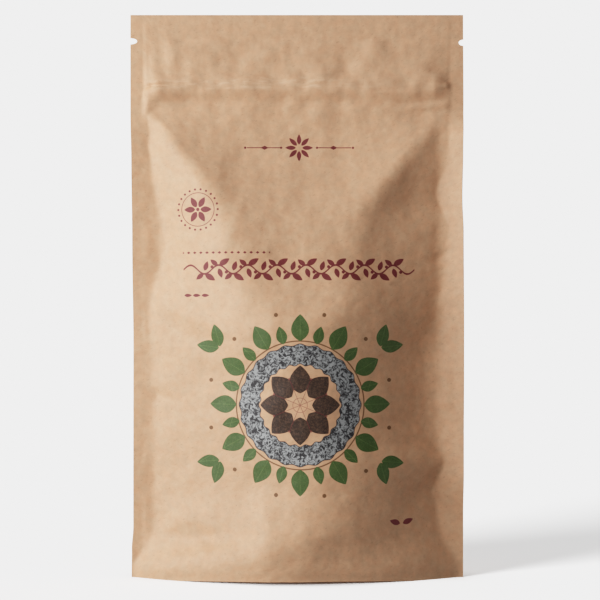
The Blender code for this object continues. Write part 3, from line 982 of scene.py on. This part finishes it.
def wreath(finish, plane, place, ink):
    """A round wreath of leaves, a bark ring, petals and a star, as (mask, colour) layers."""
    tips, between = plane.folded(12), plane.folded(12, 0.5)
    corner = Plane(abs(plane.x), abs(plane.y)).at(37.5, 26.5)
    sprigs = [corner.turned(0.12), corner.turned(1.3)]
    leaves = [tips.leaf(30, 42.5, 4.1), between.leaf(29.5, 38, 2.5)]
    leaves += [sprig.leaf(0.8, 11.5, 2.9) for sprig in sprigs]
    ribs = either(*(0.13 - abs(figure.y) for figure in (tips, between, *sprigs)))
    edge = plane.radius() - (plane.around() * 24).math("COSINE") * 0.45
    bark = (28.4 - edge) & (edge - 18.8)
    petals = plane.folded(8).leaf(5.6, 18.6, 4.9)
    star = plane.folded(8, 0.5)
    rays = (0.13 - abs(star.y)) & (12.2 - star.x)
    thin = either(rays, plane.ring(3.4, 0.13), star.at(13.2, 0).disc(0.55))

    lichen = finish.noise(place, 0.48, Detail=5, Roughness=0.7, Distortion=1.4)
    flecked = finish.mix(((lichen - 0.5) * 11).clamped(0.5), ink["bark_dark"], ink["bark_light"])
    crust = finish.noise(place, 0.9, Detail=4, Roughness=0.7)
    burnt = finish.mix(((crust - 0.45) * 5).clamped(), ink["petal"], ink["petal_light"])
    veined = finish.mix((crust - 0.45) * 0.6 + ribs * 0.25, ink["leaf"], ink["leaf_light"])
    return (
        (filled(plane.ring(30, 0.3)), ink["twig"]),
        (either(*leaves), veined),
        (filled(bark), ink["bark_dark"]),
        (filled(bark - 0.35), flecked),
        (filled(petals), burnt),
        (thin * 0.7, ink["burgundy"]),
        (filled(between.at(43.6, 0).disc(0.95)), ink["twig"]),
    )


def print_layers(finish, place, plane, paper, ink):
    """The printed front over the paper's colour."""
    vine = vine_band(plane.at(1, 147.5), 8, 13.75)
    burgundy = small_ornaments(plane) | vine | badge(plane.at(-47, 176))
    layers = [(burgundy, ink["burgundy"]), *wreath(finish, plane.at(1.5, 84), place, ink)]
    cover = INK_COVER - (finish.noise(place, 3.1) - 0.5) * INK_WEAR
    for mask, colour in layers:
        paper = finish.mix(mask * cover, paper, colour)
    return paper


# Settings.


def number(name, description, default, **settings):
    """A number that a user may set."""
    return FloatProperty(name=name, description=description, default=default, **settings)


def swatch(name, description, default):
    """A colour that a user may set."""
    settings = {"subtype": "COLOR", "min": 0, "max": 1}
    return FloatVectorProperty(name=name, description=description, default=default, **settings)


class PouchSizes(bpy.types.PropertyGroup):
    """Sizes that a user may change."""

    film: number("Film", "Thickness of the laminate", FILM * MM, unit="LENGTH", min=0.0001)


class PouchColours(bpy.types.PropertyGroup):
    """The paper's and the inks' colours, linear."""

    paper: swatch("Paper", "Kraft paper on the front", (0.56, 0.338, 0.214))
    back_paper: swatch("Back paper", "Kraft paper elsewhere", (0.55, 0.33, 0.208))
    burgundy: swatch("Burgundy", "Ink of the ornaments", (0.15, 0.03, 0.034))
    leaf: swatch("Leaf", "Ink of the leaves", (0.05, 0.092, 0.029))
    leaf_light: swatch("Leaf rib", "Ribs of the leaves", (0.2, 0.28, 0.11))
    bark_dark: swatch("Bark dark", "Dark of the flecked ring", (0.03, 0.028, 0.03))
    bark_light: swatch("Bark light", "Light of the flecked ring", (0.32, 0.325, 0.325))
    petal: swatch("Petal", "Dark of the petals", (0.028, 0.018, 0.014))
    petal_light: swatch("Petal light", "Light of the petals", (0.085, 0.05, 0.035))
    twig: swatch("Twig", "Stem ring and dots", (0.16, 0.085, 0.042))
    plastic: swatch("Plastic", "The zip's strips", (0.75, 0.75, 0.72))
    filling: swatch("Filling", "The contents' darker bits", (0.055, 0.028, 0.016))


def chosen_colours(scene):
    """The colours that are set, by their names."""
    names = PouchColours.__annotations__
    return {name: tuple(getattr(scene.pouch_colours, name)) for name in names}


class StageLook(bpy.types.PropertyGroup):
    """The camera's distance, the floor and the light from all around."""

    distance: number("Camera distance", "From the middle plane", 1, unit="LENGTH", min=0.3)
    floor_tone: number("Floor tone", "How pale the floor is", 0.7, min=0, max=1)
    sky: number("Sky", "Strength of the light from all around", 0.3, min=0)


# The pieces.


def build_panel(shape, side, name, node, material, film):
    """One big panel. side is -1 for the front and 1 for the back."""
    z = panel_rows()
    x = np.array([panel_columns(shape, height) for height in z])
    z = np.broadcast_to(z[:, None], x.shape)
    y = side * (SEAL_GAP / 2 + shape.depth(x, z)) - curl(x, z)
    across = flat_lengths(x, y)
    middle = across[np.arange(len(x)), np.abs(x).argmin(axis=1)][:, None]
    flat = np.stack([(middle - across) * side, flat_lengths(z.T, y.T).T], axis=-1)
    places = np.stack([x, y, lifted(x, z)], axis=-1)
    finish_sheet(add_sheet(name, places, flat, (0, side, 0)), film, material, node)


class POUCH_OT_panels(bpy.types.Operator):
    """Models the printed front panel and the plain back panel"""

    bl_idname = "pouch.panels"
    bl_label = "Front and Back Panels"
    bl_options = {"REGISTER", "UNDO"}

    def execute(self, context):
        film = context.scene.pouch_sizes.film
        colours = chosen_colours(context.scene)
        material = paper_finish("printed_kraft_paper", colours["paper"], colours)
        build_panel(FRONT, -1, "pouch_front", "front_panel", material, film)
        material = paper_finish("plain_kraft_paper", colours["back_paper"])
        build_panel(BACK, 1, "pouch_back", "back_panel", material, film)
        return {"FINISHED"}


class POUCH_OT_gusset(bpy.types.Operator):
    """Models the bottom gusset, which is folded out into the base"""

    bl_idname = "pouch.gusset"
    bl_label = "Bottom Gusset"
    bl_options = {"REGISTER", "UNDO"}

    def execute(self, context):
        scene = context.scene
        places = gusset_places()
        along_x = flat_lengths(places[..., 0], places[..., 2])
        along_y = flat_lengths(places[..., 1].T, places[..., 2].T).T
        flat = np.stack([along_x, along_y], axis=-1)
        material = paper_finish("gusset_kraft_paper", chosen_colours(scene)["back_paper"])
        obj = add_sheet("pouch_gusset", places, flat, (0, 0, 1))
        finish_sheet(obj, scene.pouch_sizes.film, material, "bottom_gusset")
        return {"FINISHED"}


# The zip's streaks, the scales of the filling's bits and grain, and the weights of a bit's grey.
STREAK_SIZE = (0.03, 0.001, 0.001)
BITS_SCALE = 260
GRAIN_SCALE = 900
BIT_GREY = (0.4, 0.3, 0.3)


def plastic_finish(colour):
    """Milky polyethylene, a little uneven where it was drawn."""
    finish = Finish("zip_plastic", roughness=0.38)
    place = finish.node("TexCoord", {}, {}, "Object")
    streaks = finish.noise(finish.stretched(place, STREAK_SIZE), 1)
    finish.set("Base Color", finish.mix(finish.noise(place, 140), colour, tinted(colour, 0.86)))
    finish.set("Roughness", streaks * 0.3 + 0.25)
    finish.bump(streaks, 0.00005)
    return finish.material


def filling_finish(colour):
    """Loose, dry, woody bits, a few millimetres across, with painted shade in the gaps between
    them.
    """
    finish = Finish("loose_filling", roughness=0.85, specular=0.3)
    place = finish.node("TexCoord", {}, {}, "Object")
    sockets = {"Vector": place, "Scale": BITS_SCALE}
    gap = finish.node("TexVoronoi", {"feature": "DISTANCE_TO_EDGE"}, sockets)
    bit = finish.node("TexVoronoi", {}, sockets, "Color")
    tone = finish.node("VectorMath", {"operation": "DOT_PRODUCT"}, {0: bit, 1: BIT_GREY}, "Value")
    grain = finish.noise(place, GRAIN_SCALE, Detail=3)
    lit = finish.mix(tone * 0.7 + grain * 0.3, colour, tinted(colour, 4.5))
    # Painted shade: the narrow gaps between the bits are darkened to a fifth of the colour.
    finish.set("Base Color", finish.mix((gap * 9).clamped(0.1), tinted(colour, 0.2), lit))
    finish.bump((gap & 0.12) + grain * 0.03, 0.008)
    return finish.material


class POUCH_OT_inner_pieces(bpy.types.Operator):
    """Gives the zip's strips and the contents, which are kept as they are, their finishes"""

    bl_idname = "pouch.inner_pieces"
    bl_label = "Zip and Contents"
    bl_options = {"REGISTER", "UNDO"}

    def execute(self, context):
        colours = chosen_colours(context.scene)
        plastic = plastic_finish(colours["plastic"])
        filling = filling_finish(colours["filling"])
        finishes = {"zip_rib_strip": plastic, "zip_groove_strip": plastic, "contents": filling}
        for name, material in finishes.items():
            slots = frame["nodes"][name].data.materials
            slots.clear()
            slots.append(material)
        return {"FINISHED"}


# The camera's view, in pixels of the photograph from its left and its top, and a pixel in mm.
PHOTO_SIDE = 600
PIXEL = 0.4805
MIDDLE_PIXEL = 297
HORIZON_PIXEL = 300
FLOOR_PIXEL = 577
SENSOR = 36

# The camera's response to light, up to the level that comes out white.
RESPONSE_GAIN = 2.11
RESPONSE_CONTRAST = 1.476
RESPONSE_SHOULDER = 0.911
RESPONSE_WHITE = 2.4
RESPONSE_STEPS = 16

# The soft lights on the pouch, as (watts, side, place), and what they face.
SOFT_LIGHTS = {
    "key": (6.6, 0.5, (-0.54, -0.33, 0.23)),
    "top": (5, 0.9, (-0.2, -0.9, 1.3)),
    "back": (7, 0.6, (0.5, 0.6, 0.5)),
}
LIGHTS_AIM = (0, 0, 0.13)

# The lights on the floor alone, as (strength, width, height), with both angles in degrees, and
# how far to the left they are.
FLOOR_LIGHTS = {"floor_light": (12, 22, 15), "floor_fill": (2.92, 10, 89)}
FLOOR_LIGHTS_SIDE = 44

# The floor's side in metres, and the backdrop's strength and colour.
FLOOR_SIDE = 12
BACKDROP = 1.55
WHITE = (1, 1, 1)


class POUCH_OT_stage(bpy.types.Operator):
    """Sets up the floor, the camera and the lights"""

    bl_idname = "pouch.stage"
    bl_label = "Stage"
    bl_options = {"REGISTER", "UNDO"}

    def execute(self, context):
        look = context.scene.pouch_stage
        floor = self.add_floor(look)
        self.add_camera(context.scene, look)
        self.add_lights(floor)
        self.add_world(context.scene, look)
        self.set_response(context.scene.view_settings)
        return {"FINISHED"}

    def set_response(self, view):
        """Gives the picture a camera's contrast, with a soft shoulder in the lights."""
        view.view_transform = "Standard"
        view.use_curve_mapping = True
        mapping = view.curve_mapping
        mapping.white_level = (RESPONSE_WHITE,) * 3
        points = mapping.curves[3].points
        for step in range(1, RESPONSE_STEPS + 1):
            light = (step / RESPONSE_STEPS) ** 2
            pushed = RESPONSE_GAIN * (light * RESPONSE_WHITE) ** RESPONSE_CONTRAST
            tone = pushed / (1 + RESPONSE_SHOULDER * pushed)
            if step < RESPONSE_STEPS:
                points.new(light, tone)
        points[-1].location = (light, tone)
        mapping.update()

    def add_floor(self, look):
        deselect_all()
        bpy.ops.mesh.primitive_plane_add(size=FLOOR_SIDE)
        floor = bpy.context.object
        floor.name = "floor"
        finish = Finish("pale_floor", roughness=0.9, specular=0)
        finish.set("Base Color", (look.floor_tone,) * 3)
        floor.data.materials.append(finish.material)
        floor.visible_diffuse = False
        return floor

    def add_camera(self, scene, look):
        view = PIXEL * PHOTO_SIDE * MM
        data = bpy.data.cameras.new("camera")
        data.sensor_width = SENSOR
        data.lens = SENSOR * look.distance / view
        camera = bpy.data.objects.new("camera", data)
        scene.collection.objects.link(camera)
        across = (PHOTO_SIDE / 2 - MIDDLE_PIXEL) * PIXEL * MM
        up = (FLOOR_PIXEL - HORIZON_PIXEL) * PIXEL * MM
        camera.location = (across, -look.distance, up)
        camera.rotation_euler = (math.radians(90), 0, 0)
        scene.camera = camera

    def add_light(self, name, kind, energy, place, floor, state):
        """Adds a light and keeps it off the floor (EXCLUDE), or on it alone (INCLUDE)."""
        deselect_all()
        bpy.ops.object.light_add(type=kind, location=place)
        light = bpy.context.object
        light.name = name
        light.data.energy = energy
        group = bpy.data.collections.new(name + "_floor")
        group.objects.link(floor)
        light.light_linking.receiver_collection = group
        group.collection_objects[0].light_linking.link_state = state
        return light

    def add_lights(self, floor):
        for name, (watts, side, place) in SOFT_LIGHTS.items():
            light = self.add_light(name, "AREA", watts, place, floor, "EXCLUDE")
            light.data.shape = "SQUARE"
            light.data.size = side
            aim = Vector(LIGHTS_AIM) - light.location
            light.rotation_euler = aim.to_track_quat("-Z", "Y").to_euler()
        turn = math.radians(-FLOOR_LIGHTS_SIDE)
        for name, (strength, width, height) in FLOOR_LIGHTS.items():
            light = self.add_light(name, "SUN", strength, (0, 0, 0), floor, "INCLUDE")
            light.data.angle = math.radians(width)
            light.rotation_euler = (math.radians(90 - height), 0, turn)

    def add_world(self, scene, look):
        """Even light from all around, and a paler backdrop for the camera alone."""
        scene.world = bpy.data.worlds.new("studio")
        tree = Tree(scene.world)
        surround = tree.node("Background", {}, {"Color": WHITE, "Strength": look.sky})
        backdrop = tree.node("Background", {}, {"Color": WHITE, "Strength": BACKDROP})
        seen = tree.node("LightPath", {}, {}, "Is Camera Ray")
        choice = tree.node("MixShader", {}, {0: seen, 1: surround, 2: backdrop})
        tree.feed(tree.nodes["World Output"].inputs["Surface"], choice)


class POUCH_PT_pieces(bpy.types.Panel):
    """The pouch's pieces and settings"""

    bl_label = "Kraft Pouch"
    bl_space_type = "VIEW_3D"
    bl_region_type = "UI"
    bl_category = "Pouch"

    def draw(self, context):
        for operator in OPERATORS:
            self.layout.operator(operator.bl_idname)
        for name, group in SETTINGS.items():
            box = self.layout.box()
            box.label(text=group.__doc__)
            for prop in group.__annotations__:
                box.prop(getattr(context.scene, name), prop)


OPERATORS = (POUCH_OT_panels, POUCH_OT_gusset, POUCH_OT_inner_pieces, POUCH_OT_stage)
SETTINGS = {"pouch_sizes": PouchSizes, "pouch_colours": PouchColours, "pouch_stage": StageLook}


def register():
    for kind in (*SETTINGS.values(), *OPERATORS, POUCH_PT_pieces):
        bpy.utils.register_class(kind)
    for name, group in SETTINGS.items():
        setattr(bpy.types.Scene, name, PointerProperty(type=group))


def unregister():
    for name in SETTINGS:
        delattr(bpy.types.Scene, name)
    for kind in (POUCH_PT_pieces, *reversed(OPERATORS), *SETTINGS.values()):
        bpy.utils.unregister_class(kind)


def main():
    register()
    bpy.ops.pouch.panels()
    bpy.ops.pouch.gusset()
    bpy.ops.pouch.inner_pieces()
    bpy.ops.pouch.stage()


if __name__ == "__main__":
    main()
